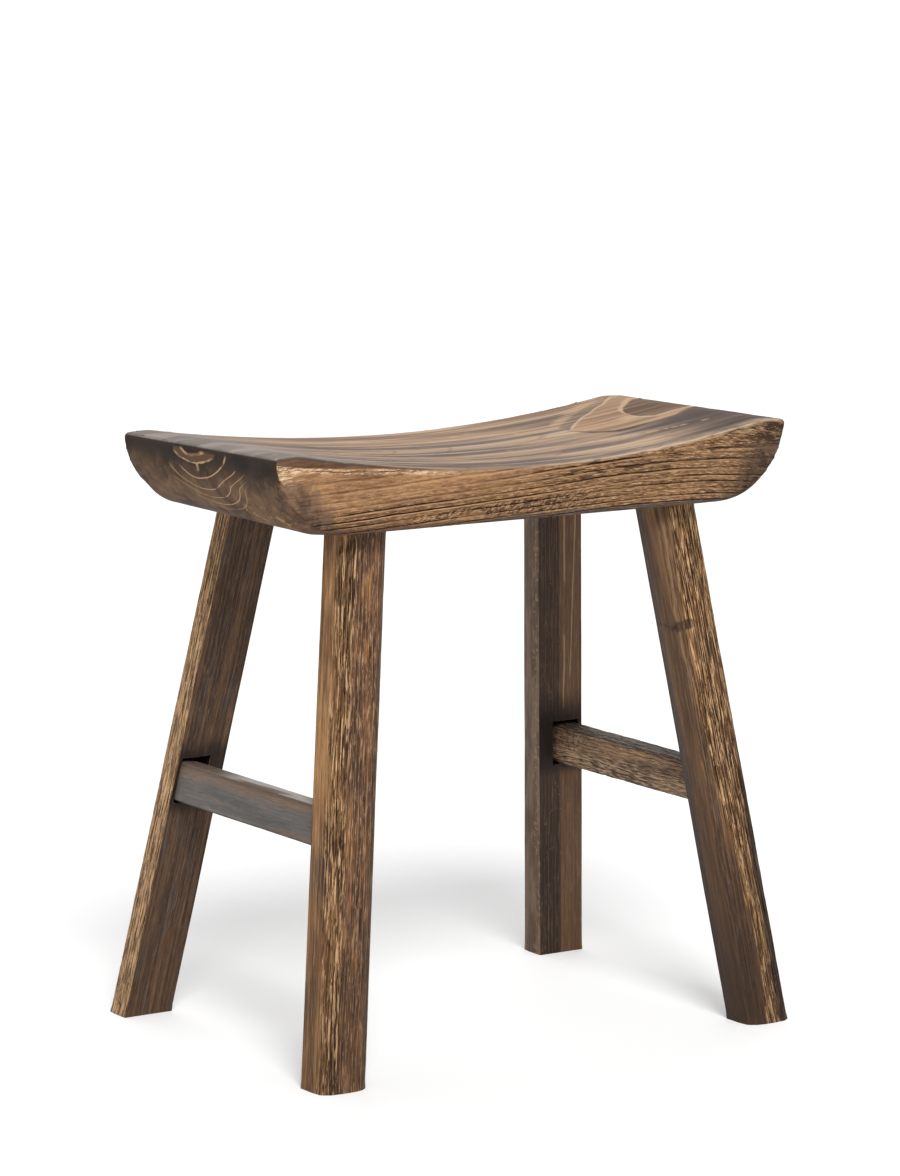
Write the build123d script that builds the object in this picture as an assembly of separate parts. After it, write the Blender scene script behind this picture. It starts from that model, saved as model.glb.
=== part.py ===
from build123d import *
from math import atan, degrees
import os

# Saddle stool with a dished one-piece seat on four legs that splay both ways.
# Millimetres. +Z is up, +X runs along the seat's length, -Y is the front.
# The origin is on the floor, under the middle of the seat.

# Seat
seat_length = 456.0
seat_depth = 205.0
seat_underside_height = 391.5
front_end_thickness = 60.0
back_end_thickness = 55.0   # the back edge was worked a little lower than the front
front_middle_thickness = 39.5
back_middle_thickness = 38.0
end_land = 20.0             # nearly level strip at each end, outside the dish
end_land_drop = 1.0         # how far that strip falls to the tip
crest_round = 40.0          # softens the line between the dish and the strip
end_curve_run = 46.0        # how far the undercut end curve reaches in from the tip
corner_curve_run = 66.0     # the same along the front and back faces
corner_slack = 14.0         # width of the eased strip beside those faces
tip_round = 4.0
seat_edge_round = 3.0

# Legs, placed from the seat's tips and faces to their own outer faces
leg_tip_inset = 68.75       # along X, under the seat
leg_face_inset = 15.5       # along Y, under the seat
leg_end_splay = 53.75       # how far each foot stands out beyond its shoulder, along X
leg_side_splay = 59.0       # the same along Y, at the inner face
leg_width = 41.4            # along X
foot_depth = 29.0           # along Y, over the bulge
shoulder_depth = 26.5
leg_face_bulge = 1.5        # how far the outer face swells
leg_outer_round = 12.0      # the two outward corners
leg_arris_round = 1.0       # the two inward corners

# Leg tenons, which stop inside the seat
tenon_width = 26.0          # along X
tenon_depth = 17.0          # along Y
tenon_length = 28.0         # height above the seat's underside
tenon_end_room = 1.0        # air above the tenon
fit_gap = 0.1               # between the walls of a joint

# Wedges in the ends of the leg tenons
wedge_length = 16.0
wedge_thick_end = 3.4
wedge_thin_end = 0.8
wedge_gap = 0.05

# Stretchers
stretcher_height = 31.5
stretcher_thickness = 20.0
stretcher_edge_round = 2.5
stretcher_setback = 3.5     # from the legs' outer faces to the stretcher's
stretcher_left_middle = 181.0    # height of the centre line above the floor
stretcher_right_middle = 175.4
stretcher_seat_depth = 16.0   # how far each end goes into its leg

# The stretcher mortises are cut wider at the mouth, which leaves the gaps that show
mouth_depth = 6.0
mouth_room_above = 3.0
mouth_room_inside = 4.5

overrun = 5.0

side_names = {-1: "left", 1: "right"}
row_names = {-1: "front", 1: "back"}


def drop_share(height):
    """How far down a leg a height lies: 0 under the seat and 1 on the floor."""
    return 1 - height / seat_underside_height


def leg_outer_x(height):
    """X of a leg's outer face at a height above the floor."""
    return seat_length / 2 - leg_tip_inset + leg_end_splay * drop_share(height)


def leg_inner_y(height):
    """Y of a leg's inner face at a height above the floor."""
    shoulder_y = seat_depth / 2 - leg_face_inset - shoulder_depth
    return shoulder_y + leg_side_splay * drop_share(height)


def leg_depth(height):
    """Depth of a leg's level section at a height above the floor."""
    return shoulder_depth + (foot_depth - shoulder_depth) * drop_share(height)


def leg_centre(side, row, height):
    """Middle of the leg's level section at a height."""
    x = side * (leg_outer_x(height) - leg_width / 2)
    y = row * (leg_inner_y(height) + leg_depth(height) / 2)
    return Vector(x, y, height)


def seat_profile(y, curve_run):
    """Lengthwise section of the seat at a distance from its middle, with a run for its end curves."""
    back_share = y / seat_depth + 1 / 2
    end_thickness = front_end_thickness + (back_end_thickness - front_end_thickness) * back_share
    middle_thickness = front_middle_thickness + (back_middle_thickness - front_middle_thickness) * back_share
    half_length = seat_length / 2
    bottom = seat_underside_height
    crest = bottom + end_thickness
    tip = crest - end_land_drop
    flat_half = half_length - curve_run
    land_x = half_length - end_land
    curve_height = tip - bottom
    outline = Curve() + [
        Line((-flat_half, bottom), (flat_half, bottom)),
        EllipticalCenterArc((flat_half, tip), curve_run, curve_height, 270, arc_size=90),
        Line((half_length, tip), (land_x, crest)),
        ThreePointArc((land_x, crest), (0, bottom + middle_thickness), (-land_x, crest)),
        Line((-land_x, crest), (-half_length, tip)),
        EllipticalCenterArc((-flat_half, tip), curve_run, curve_height, 180, arc_size=90),
    ]
    profile = make_face(Plane.XZ * outline)
    tips = profile.vertices().filter_by(lambda v: abs(v.X) > half_length - end_land / 2)
    profile = fillet(tips, tip_round)
    crests = profile.vertices().filter_by(lambda v: abs(abs(v.X) - land_x) < end_land / 4 and v.Z > tip)
    return Pos(0, y, 0) * fillet(crests, crest_round)


def tenon_section(side, row, height, gap):
    """Level section of a leg tenon, grown by a gap all round."""
    centre = leg_centre(side, row, height)
    return Pos(*centre) * Rectangle(tenon_width + 2 * gap, tenon_depth + 2 * gap)


def leaning_prism(section, side, row, low, high):
    """Level section carried along the leg's lean, from one height to another."""
    lean = leg_centre(side, row, high) - leg_centre(side, row, low)
    return Solid.extrude(section.face(), lean)


def leg_mortise(side, row):
    low = seat_underside_height - overrun
    high = seat_underside_height + tenon_length + tenon_end_room
    section = tenon_section(side, row, low, fit_gap)
    return leaning_prism(section, side, row, low, high)


def make_seat():
    face_y = seat_depth / 2
    eased_y = face_y - corner_slack
    sections = [
        seat_profile(-face_y, corner_curve_run),
        seat_profile(-eased_y, end_curve_run),
        seat_profile(eased_y, end_curve_run),
        seat_profile(face_y, corner_curve_run),
    ]
    blank = loft(sections, ruled=True)
    long_edges = blank.edges().filter_by(lambda e: abs(e.center().Y) > face_y - corner_slack / 4)
    seat = fillet(long_edges, seat_edge_round)
    for side in side_names:
        for row in row_names:
            seat -= leg_mortise(side, row)
    return seat


def leg_section(side, row, height):
    """Level section of a leg at a height: flat inside, swelling outside."""
    half_width = leg_width / 2
    half_depth = leg_depth(height) / 2
    inner = -row * half_depth
    outer_corner = row * (half_depth - leg_face_bulge)
    outer_middle = row * half_depth
    outline = Curve() + [
        Line((-half_width, inner), (half_width, inner)),
        Line((half_width, inner), (half_width, outer_corner)),
        ThreePointArc((half_width, outer_corner), (0, outer_middle), (-half_width, outer_corner)),
        Line((-half_width, outer_corner), (-half_width, inner)),
    ]
    section = make_face(outline)
    outward = section.vertices().filter_by(lambda v: v.Y * row > 0)
    section = fillet(outward, leg_outer_round)
    inward = section.vertices().filter_by(lambda v: abs(v.Y - inner) < leg_arris_round)
    section = fillet(inward, leg_arris_round)
    return Pos(*leg_centre(side, row, height)) * section


def wedge(side, row, gap):
    """Wedge driven into the tenon's end, thick end up, grown by a gap."""
    high = seat_underside_height + tenon_length
    low = high - wedge_length
    thin = Rectangle(wedge_thin_end + 2 * gap, tenon_depth)
    thick = Rectangle(wedge_thick_end + 2 * gap, tenon_depth)
    ends = [Pos(*leg_centre(side, row, low)) * thin, Pos(*leg_centre(side, row, high)) * thick]
    return loft(ends, ruled=True)


def stretcher_middle(side):
    """Height of a stretcher's centre line."""
    return stretcher_left_middle if side < 0 else stretcher_right_middle


def stretcher_place(side):
    """Centre of a stretcher, turned so that its sides lie parallel to its legs' outer faces."""
    height = stretcher_middle(side)
    x = leg_outer_x(height) - stretcher_setback - stretcher_thickness / 2
    lean = degrees(atan((leg_outer_x(0) - leg_outer_x(height)) / height))
    return Pos(side * x, 0, height) * Rot(0, -side * lean, 0)


def stretcher_reach(side):
    """Y of a stretcher's end, from the stool's middle."""
    return leg_inner_y(stretcher_middle(side)) + stretcher_seat_depth


def stretcher_mortise(side, row):
    """Snug pocket for a stretcher's end, with a wider mouth above and inside it."""
    inner_y = leg_inner_y(stretcher_middle(side))
    start = inner_y - stretcher_height / 2
    reach = stretcher_reach(side)
    mouth_end = inner_y + mouth_depth
    snug = Box(stretcher_thickness + 2 * fit_gap, reach - start, stretcher_height + 2 * fit_gap)
    mouth = Box(
        stretcher_thickness + mouth_room_inside + fit_gap,
        mouth_end - start,
        stretcher_height + mouth_room_above + fit_gap,
    )
    mouth_x = -side * (mouth_room_inside - fit_gap) / 2
    mouth_z = (mouth_room_above - fit_gap) / 2
    snug = Pos(0, row * (start + reach) / 2, 0) * snug
    mouth = Pos(mouth_x, row * (start + mouth_end) / 2, mouth_z) * mouth
    return stretcher_place(side) * (snug + mouth)


def make_leg(side, row):
    shoulder = seat_underside_height
    post = loft([leg_section(side, row, 0), leg_section(side, row, shoulder)], ruled=True)
    tenon_top = seat_underside_height + tenon_length
    tenon = leaning_prism(tenon_section(side, row, shoulder, 0), side, row, shoulder, tenon_top)
    return post + tenon - wedge(side, row, wedge_gap) - stretcher_mortise(side, row)


def make_stretcher(side):
    bar = Box(stretcher_thickness, 2 * stretcher_reach(side), stretcher_height)
    bar = fillet(bar.edges().filter_by(Axis.Y), stretcher_edge_round)
    return stretcher_place(side) * bar


def save(name, shape):
    shape.label = name
    export_step(shape, f"parts/{name}.step")


os.makedirs("parts", exist_ok=True)
save("seat", make_seat())
for side, side_name in side_names.items():
    save(f"stretcher_{side_name}", make_stretcher(side))
    for row, row_name in row_names.items():
        save(f"leg_{row_name}_{side_name}", make_leg(side, row))
        save(f"wedge_{row_name}_{side_name}", wedge(side, row, 0))
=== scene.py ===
import bmesh
import bpy
from math import atan
from mathutils import Matrix, Vector


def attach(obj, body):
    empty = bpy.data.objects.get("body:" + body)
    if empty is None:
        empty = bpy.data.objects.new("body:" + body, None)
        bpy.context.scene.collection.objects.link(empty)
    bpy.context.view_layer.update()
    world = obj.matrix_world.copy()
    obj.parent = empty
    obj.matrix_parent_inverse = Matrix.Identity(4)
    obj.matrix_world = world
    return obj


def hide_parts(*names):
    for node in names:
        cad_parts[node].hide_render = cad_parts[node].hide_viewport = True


# Saddle stool: a dished one-piece seat on four splayed legs with a stretcher at each end.
# Lengths are millimetres until MM makes them metres. +X runs along the seat and -Y is the front.

MM = 0.001
PER_MM = (1 / MM, 1 / MM, 1 / MM)
CLOSE = 0.001    # points closer than this lie on the same face

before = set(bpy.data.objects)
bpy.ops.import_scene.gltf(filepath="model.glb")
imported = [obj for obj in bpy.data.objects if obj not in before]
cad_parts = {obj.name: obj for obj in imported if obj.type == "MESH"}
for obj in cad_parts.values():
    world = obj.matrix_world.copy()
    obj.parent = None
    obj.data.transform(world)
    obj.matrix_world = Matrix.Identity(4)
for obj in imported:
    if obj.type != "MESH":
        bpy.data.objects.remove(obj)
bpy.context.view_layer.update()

# Seat
HALF_LENGTH = 228.0
HALF_DEPTH = 102.5
UNDERSIDE = 391.5
CREST = 451.0
DISH_MIDDLE = 430.0
END_LAND = 20.0    # level strip at each end, outside the dish
CORNER_RUN = 66.0    # how far the end curve reaches in at the front and back
END_RUN = 46.0    # the same between them

# Legs
LEG_WIDTH = 41.4
FOOT_DEPTH = 28.9
SHOULDER_DEPTH = 26.5
FOOT_OUTER_X = 213.0
SHOULDER_OUTER_X = 159.25
FOOT_INNER_Y = 119.5
SHOULDER_INNER_Y = 60.5
LEG_BULGE = 1.5
LEG_ROUND = 12.0
TENON_HALF_WIDTH = 13.0
TENON_HALF_DEPTH = 8.5
TENON_LENGTH = 28.0

# Stretchers
BAR_HEIGHT = 31.5
BAR_THICKNESS = 20.0
BAR_SETBACK = 3.5
BAR_SEAT_DEPTH = 16.0
BAR_EDGE = 2.2
BAR_MIDDLE = {-1: 181.0, 1: 175.4}
MOUTH_ABOVE = 3.0
MOUTH_INSIDE = 4.5

SIDES = {-1: "left", 1: "right"}
ROWS = {-1: "front", 1: "back"}


# Node trees written as arithmetic

class Trace:
    """One socket of a node tree. Arithmetic on it adds Math nodes to that tree."""

    def __init__(self, tree, socket=None):
        self.tree = tree
        self.socket = socket

    def node(self, kind, settings=None, inputs=None, output=0):
        """Adds any node: its settings first, then its values and links."""
        made = self.tree.nodes.new(kind)
        for name, value in (settings or {}).items():
            setattr(made, name, value)
        for name, value in (inputs or {}).items():
            if isinstance(value, Trace):
                self.tree.links.new(value.socket, made.inputs[name])
            else:
                made.inputs[name].default_value = value
        return Trace(self.tree, made.outputs[output] if made.outputs else None)

    def math(self, operation, *values):
        return self.node("ShaderNodeMath", {"operation": operation}, dict(enumerate(values)))

    def __add__(self, other):
        return self.math("ADD", self, other)

    def __sub__(self, other):
        return self.math("SUBTRACT", self, other)

    def __mul__(self, other):
        return self.math("MULTIPLY", self, other)

    def __truediv__(self, other):
        return self.math("DIVIDE", self, other)

    def __radd__(self, other):
        return self.math("ADD", other, self)

    def __rsub__(self, other):
        return self.math("SUBTRACT", other, self)

    def __rmul__(self, other):
        return self.math("MULTIPLY", other, self)

    def __rtruediv__(self, other):
        return self.math("DIVIDE", other, self)

    def __pow__(self, other):
        return self.math("POWER", self, other)

    def __abs__(self):
        return self.math("ABSOLUTE", self)

    def least(self, other):
        return self.math("MINIMUM", self, other)

    def most(self, other):
        return self.math("MAXIMUM", self, other)

    def fraction(self):
        return self.math("FRACT", self)

    def fade(self, start, end):
        """0 at start and 1 at end, with a soft turn at both."""
        span = {"Value": self, "From Min": start, "From Max": end, "To Min": 0.0, "To Max": 1.0}
        return self.node("ShaderNodeMapRange", {"interpolation_type": "SMOOTHSTEP"}, span)

    def parts(self, names="xyz"):
        """These components of a vector."""
        split = self.node("ShaderNodeSeparateXYZ", {}, {0: self}).socket.node
        return [Trace(self.tree, split.outputs["xyz".index(name)]) for name in names]

    def times(self, factors):
        """A vector stretched along its three axes."""
        return self.node("ShaderNodeVectorMath", {"operation": "MULTIPLY"}, {0: self, 1: factors})

    def plus(self, other):
        return self.node("ShaderNodeVectorMath", {"operation": "ADD"}, {0: self, 1: other})

    def noise(self, detail, roughness, distortion=0.0, scale=1.0):
        look = {"Vector": self, "Scale": scale, "Detail": detail, "Roughness": roughness}
        return self.node("ShaderNodeTexNoise", {}, {**look, "Distortion": distortion})

    def clouds(self, along, across, detail=2.0, roughness=0.5, offset=0.0):
        """Noise in spots of a length along the fibres and a width across them, about 0.5."""
        place = self.times((1 / along, 1 / across, 1 / across)).plus((offset, offset * 0.7, offset * 1.3))
        return place.noise(detail, roughness)


def vector(x, y, z):
    tree = next(v.tree for v in (x, y, z) if isinstance(v, Trace))
    return Trace(tree).node("ShaderNodeCombineXYZ", {}, {0: x, 1: y, 2: z})


def stain(red, green, blue):
    """A colour written as it shows on a screen, 0 to 255."""
    linear = [((c / 255 + 0.055) / 1.055) ** 2.4 if c > 10 else c / 255 / 12.92 for c in (red, green, blue)]
    return (*linear, 1.0)


def dye(share, base, colour):
    """Lays a colour over a base by a share. Colours are traces, or red, green and blue on a screen."""
    base, colour = (c if isinstance(c, Trace) else stain(*c) for c in (base, colour))
    return share.node("ShaderNodeMix", {"data_type": "RGBA"}, {0: share, 6: base, 7: colour}, output=2)


def coats(base, *layers):
    """Lays colours over a base one after the other, each by its share."""
    for share, colour in layers:
        base = dye(share, base, colour)
    return base


# Materials

WOOD_SHINE = 0.2
MARKS = ("grain", "facing")


def empty_tree(owner):
    """Clears the nodes of a material or a world, and gives a trace of its tree."""
    owner.use_nodes = True
    owner.node_tree.nodes.clear()
    return Trace(owner.node_tree)


def in_stool(start):
    """Places in the stool, in millimetres."""
    return start.node("ShaderNodeTexCoord", output="Object").times(PER_MM)


def brushed_places(start):
    """Places in the plank and ways the wood looks, as brush() marked them, and places in the stool."""
    marks = [start.node("ShaderNodeAttribute", {"attribute_name": mark}, output="Vector") for mark in MARKS]
    return *marks, in_stool(start)


def surface(start, colour, roughness, height, depth):
    """Joins a wood's colour, roughness and bumps, of a depth in millimetres, to its shader."""
    bump = start.node("ShaderNodeBump", {}, {"Strength": 1.0, "Distance": depth * MM, "Height": height})
    look = {"Base Color": colour, "Roughness": roughness, "Specular IOR Level": WOOD_SHINE, "Normal": bump}
    skin = start.node("ShaderNodeBsdfPrincipled", {}, look)
    start.node("ShaderNodeOutputMaterial", {}, {"Surface": skin})


# Modelling by hand, in code

SQUARELY = 0.9    # how much of its normal a face needs along an axis to look that way
SHARP_ANGLE = 1.2    # cage edges sharper than this stay crisp under the subdivision
SMOOTH_ANGLE = 0.9    # finished edges sharper than this are shaded crisp


def mode(name):
    bpy.ops.object.mode_set(mode=name)


def only(piece):
    bpy.ops.object.select_all(action="DESELECT")
    piece.select_set(True)
    bpy.context.view_layer.objects.active = piece


def block(name, centre, size):
    """A box of a size at a place, in millimetres, to be shaped."""
    bpy.ops.object.select_all(action="DESELECT")
    bpy.ops.mesh.primitive_cube_add(size=1, location=[c * MM for c in centre])
    piece = bpy.context.object
    piece.name = name
    piece.scale = [s * MM for s in size]
    bpy.ops.object.transform_apply(location=True, rotation=True, scale=True)
    return piece


def slices(piece, axis):
    """The numbers of the points at each place along an axis, in millimetres."""
    found = {}
    for v in bmesh.from_edit_mesh(piece.data).verts:
        found.setdefault(round(v.co[axis] / MM, 2), set()).add(v.index)
    return found


def lies_at(edge, axis, *places):
    """Whether both ends of an edge lie at one of these places along an axis, in millimetres."""
    return any(all(abs(v.co[axis] / MM - place) < CLOSE for v in edge.verts) for place in places)


def is_arris(edge):
    """Whether the faces beside an edge look different ways."""
    return len({tuple(round(c, 3) for c in face.normal) for face in edge.link_faces}) > 1


def pick(piece, points):
    """Selects these points of the piece in edit mode."""
    bpy.ops.mesh.select_mode(type="VERT")
    mesh = bmesh.from_edit_mesh(piece.data)
    for v in mesh.verts:
        v.select_set(v.index in points)
    mesh.select_flush_mode()
    bmesh.update_edit_mesh(piece.data)


def pick_faces(piece, test):
    """Selects the faces whose middle, in millimetres, and normal pass a test."""
    bpy.ops.mesh.select_mode(type="FACE")
    mesh = bmesh.from_edit_mesh(piece.data)
    for f in mesh.faces:
        f.select_set(test(f.calc_center_median() / MM, f.normal))
    mesh.select_flush_mode()
    bmesh.update_edit_mesh(piece.data)


def shift(x=0.0, y=0.0, z=0.0):
    """Moves what is picked, in millimetres."""
    bpy.ops.transform.translate(value=(x * MM, y * MM, z * MM))


def squeeze(x=1.0, y=1.0, z=1.0, floor=0.0):
    """Scales what is picked towards the Z axis, and towards a level in millimetres."""
    bpy.ops.transform.resize(value=(x, y, z), center_override=(0, 0, floor * MM))


def push_out(x=0.0, y=0.0, z=0.0):
    """Extrudes the picked faces, in millimetres."""
    bpy.ops.mesh.extrude_region_move(TRANSFORM_OT_translate={"value": (x * MM, y * MM, z * MM)})


def saw(piece, axis, places):
    """Cuts the whole piece into slices square to an axis, at places in millimetres."""
    for place in places:
        bpy.ops.mesh.select_all(action="SELECT")
        point, square = [0, 0, 0], [0, 0, 0]
        point[axis] = place * MM
        square[axis] = 1
        bpy.ops.mesh.bisect(plane_co=point, plane_no=square)
    bmesh.from_edit_mesh(piece.data).verts.index_update()


def crease(piece, test):
    """Keeps the edges that pass a test crisp under the subdivision."""
    mesh = bmesh.from_edit_mesh(piece.data)
    layer = mesh.edges.layers.float.get("crease_edge") or mesh.edges.layers.float.new("crease_edge")
    for e in mesh.edges:
        if test(e):
            e[layer] = 1.0
    bmesh.update_edit_mesh(piece.data)


def finish_with(piece, kind, **settings):
    """Adds a modifier and applies it."""
    only(piece)
    modifier = piece.modifiers.new(kind, kind)
    for name, value in settings.items():
        setattr(modifier, name, value)
    bpy.ops.object.modifier_apply(modifier=modifier.name)


def merged_copy(name):
    """A merged copy of a CAD solid, to measure against."""
    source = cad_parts[name]
    copy = source.copy()
    copy.data = source.data.copy()
    copy.name = "guide_" + name
    copy.parent = None
    bpy.context.scene.collection.objects.link(copy)
    only(copy)
    mode("EDIT")
    bpy.ops.mesh.select_all(action="SELECT")
    bpy.ops.mesh.remove_doubles(threshold=0.01 * MM)
    mode("OBJECT")
    return copy


def brush(piece, grain_of, outward, relief_of):
    """Marks how the fibres run and how each face looks out, then brushes the relief into the mesh."""
    tree = bpy.data.node_groups.new("brushed_" + piece.name, "GeometryNodeTree")
    tree.interface.new_socket("Wood", in_out="INPUT", socket_type="NodeSocketGeometry")
    tree.interface.new_socket("Wood", in_out="OUTPUT", socket_type="NodeSocketGeometry")
    start = Trace(tree)
    wood = start.node("NodeGroupInput")
    place = start.node("GeometryNodeInputPosition").times(PER_MM)
    normal = start.node("GeometryNodeInputNormal")
    grain = grain_of(place)
    facing = normal.times(outward)
    on_points = {"data_type": "FLOAT_VECTOR", "domain": "POINT"}
    for mark, value in zip(MARKS, (grain, facing)):
        held = {"Geometry": wood, "Name": mark, "Value": value}
        wood = start.node("GeometryNodeStoreNamedAttribute", on_points, held)
    depth = relief_of(place, grain, facing) * -MM
    push = start.node("ShaderNodeVectorMath", {"operation": "SCALE"}, {0: normal, "Scale": depth})
    wood = start.node("GeometryNodeSetPosition", {}, {"Geometry": wood, "Offset": push})
    start.node("NodeGroupOutput", {}, {0: wood})
    only(piece)
    modifier = piece.modifiers.new("Relief", "NODES")
    modifier.node_group = tree
    bpy.ops.object.modifier_apply(modifier=modifier.name)
    bpy.data.node_groups.remove(tree)


def put_on(piece, material, node):
    piece.data.materials.clear()
    piece.data.materials.append(material)
    only(piece)
    bpy.ops.object.shade_smooth_by_angle(angle=SMOOTH_ANGLE)
    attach(piece, "root")
    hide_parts(node)


# The plank that the seat was cut from

CLIMB = 0.093    # how much the grain rises along the middle of the seat
FACE_CLIMB = 0.033    # the same along its front and back
FIRST_GROOVE = 0.35    # where the first brushed groove lies, in rings
PITH_HEIGHT = 447.0    # at the left end
WIDE_RINGS = 45.0    # how far the uneven rings reach from the pith

# The pale arch at the right of the top and the dark lobe inside it: the point, how blunt and wide the front
# is, where the front turns back and how fast, and how the back opens
ARCH = {"point": (112.0, 15.0), "blunt": (20.0, 7.4), "turn": (175.0, 0.0095), "opening": (0.87, 1.45)}
LOBE = {"point": (173.0, 12.0), "blunt": (8.0, 5.0), "turn": (195.0, 0.014), "opening": (0.46, 10.2)}


def seat_grain(place):
    """Places in the plank, straightened so that its fibres run level."""
    x, y, z = place.parts()
    outward = y.fade(-45, -100).most(y.fade(96.5, 101.5))
    past = (x - 40).most(0)
    face_rise = (x + HALF_LENGTH) * FACE_CLIMB - past * past * 0.0005
    rise = (x + HALF_LENGTH) * CLIMB * (1 - outward) + face_rise * outward
    return vector(x, y, z - rise)


def seat_reach(grain):
    """Distance from the pith, which lies under the top at the left end and climbs out of it."""
    x, y, z = grain.parts()
    drift = (x + HALF_LENGTH) * (x + HALF_LENGTH) * 0.00008
    wander = (grain.clouds(220, 70, 1) - 0.5) * 1.6 + (grain.clouds(60, 14, 1, offset=3) - 0.5) * 1.4
    above = z - PITH_HEIGHT
    opened = (0.8 - abs(above) * 0.04) * y.fade(-92, -72) * y.fade(10, 0) * x.fade(-150, -190)
    spread = 2.1 + 0.7 * y.fade(-10, 60) * x.fade(-200, 100) + opened
    aside = (y - 10 - drift) / spread
    return (aside * aside + above * above) ** 0.5 + wander


def seat_rings(reach):
    """Rings counted from the pith: wide ones first, then narrow, then even."""
    return (reach.least(WIDE_RINGS).most(0) / 23.5) ** 2.3 + (reach - WIDE_RINGS).most(0) * 0.34


def end_reach(grain):
    """Distance from the pith for the left end's pale lines, which sag towards the front."""
    y, z = grain.parts("yz")
    depth = PITH_HEIGHT - z
    aside = y - 8 + (depth - 26).most(0) * 0.9
    spread = 1.25 + aside.fade(6, -6) * (0.35 + 0.3 * depth.fade(26, 10))
    aside = aside / spread
    wander = (grain.clouds(220, 40, offset=3) - 0.5) * 3
    return (aside * aside + depth * depth) ** 0.5 + wander


def inside(x, y, point, blunt, turn, opening):
    """How far inside one of the figures on the top a place lies."""
    past = (x - point[0]).most(0.001)
    front = point[1] - past.least(blunt[0]) ** 0.5 * blunt[1] + (x - turn[0]).most(0) ** 2 * turn[1]
    back = point[1] + past ** opening[0] * opening[1]
    return (y - front).least(back - y)


def ring_line(phase, width):
    """1 on the line between two rings."""
    return phase.least(1 - phase).fade(width, 0)


def brushed(grain, rings, length=5.5, width=0.75):
    """Brushed wood, each from 0 to 1: grooves between rings, ridges beside them and strokes of fibres."""
    jag = grain.clouds(14, 2.2, 2, 0.6, offset=31) - 0.5
    whole = rings + jag * 0.14
    phase = whole.fraction()
    strength = 0.45 + 0.55 * grain.clouds(110, 5, 1, offset=41).fade(0.36, 0.54)
    groove = phase.fade(0, 0.05) * phase.fade(0.25, 0.12) * strength
    ridge = phase.fade(0.19, 0.27) * phase.fade(0.48, 0.32) * strength
    phase = (whole * 2.3 + jag * 0.8).fraction()
    groove = groove.most(phase.fade(0, 0.1) * phase.fade(0.34, 0.16) * strength * 0.35)
    strokes = grain.clouds(length, width, 3, 0.62, offset=7)
    return groove, ridge, strokes


def wear_and_painted_relief(base, carving, rough, groove, ridge, strokes):
    """Darkens the hollows of brushed wood and lightens what stands proud. The grooves are partly stain and
    partly painted shade; the ridge beside each is partly wear and partly a painted highlight.
    """
    return coats(
        base,
        (strokes.fade(0.47, 0.4) * rough * 0.8, (66, 44, 30)),
        (strokes.fade(0.55, 0.62) * rough * 0.7, (216, 176, 136)),
        # Pale ridge beside each groove: partly wear, partly a painted highlight
        (ridge * carving * 0.7, (206, 166, 124)),
        # Dark groove: partly stain in the hollow, partly painted shade
        (groove * carving * 0.95, (50, 32, 21)),
    )


# Seat

FRONT_EDGE_MIDDLE = 430.6    # height of the upper front edge, half way along


def below_front_edge(x, z):
    """How far below the seat's upper front edge a point lies."""
    along = x / (HALF_LENGTH - END_LAND)
    return FRONT_EDGE_MIDDLE + along * along * (CREST - FRONT_EDGE_MIDDLE) - z


def seat_carving(place, facing):
    """How deep the grooves of the front and back are, and how rough they are between, from 0 to 1."""
    x, z = place.parts("xz")
    low_line = 410 + (x + 110) * 0.05
    quiet = x.fade(60, -60) * (z - low_line).fade(-1, 3)
    sides = abs(facing.parts("y")[0]).fade(0.5, 0.9)
    carving = sides * (1 - quiet * 0.75)
    return carving, carving * (1 - 0.5 * x.fade(60, -60))


def hatching(place):
    """Short slanting marks low on the front and back, and where they lie."""
    x, y, z = place.parts()
    slant = vector((x + z * 0.55) / 4.5, y / 30, (z - x * 0.55) / 1.2)
    marks = slant.noise(2, 0.6)
    zone = z.fade(395.5, 398) * (404 + (x + 79) * 0.06 - z).fade(0, 2)
    patches = place.clouds(30, 30, 1, offset=61).fade(0.3, 0.5)
    return marks, zone * patches * x.fade(-140, -95) * x.fade(75, 20)


def seat_relief(place, grain, facing):
    """How deep the seat is brushed and worn, in millimetres."""
    z = place.parts("z")[0]
    fx, fy, fz = facing.parts()
    carving, rough = seat_carving(place, facing)
    groove, _, strokes = brushed(grain, seat_rings(seat_reach(grain)) - FIRST_GROOVE)
    marks, zone = hatching(place)
    brushing = carving * groove + rough * (0.6 - strokes).most(0) * 1.6
    hatched = zone * marks.fade(0.56, 0.4) * 0.6
    worn = 0.5 * grain.clouds(60, 30, 1, offset=17)
    edge = (abs(fy) * fz).most(0).fade(0.1, 0.5)
    chips = edge * grain.clouds(12, 4, 2, 0.6, offset=23).fade(0.5, 0.7)
    arris = abs(fx * fy).fade(0.12, 0.4) * z.fade(446, 436)
    knocked = arris * place.clouds(7, 7, 3, 0.6, offset=67).fade(0.35, 0.7) * 2.2
    return brushing + hatched + worn + chips + knocked + fz.fade(0.5, 0.9) * groove * 0.12


def mottled(speckled):
    """Dirty brown of the handled lower corners."""
    return dye(speckled.fade(0.42, 0.58), (62, 48, 40), (112, 88, 70))


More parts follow.
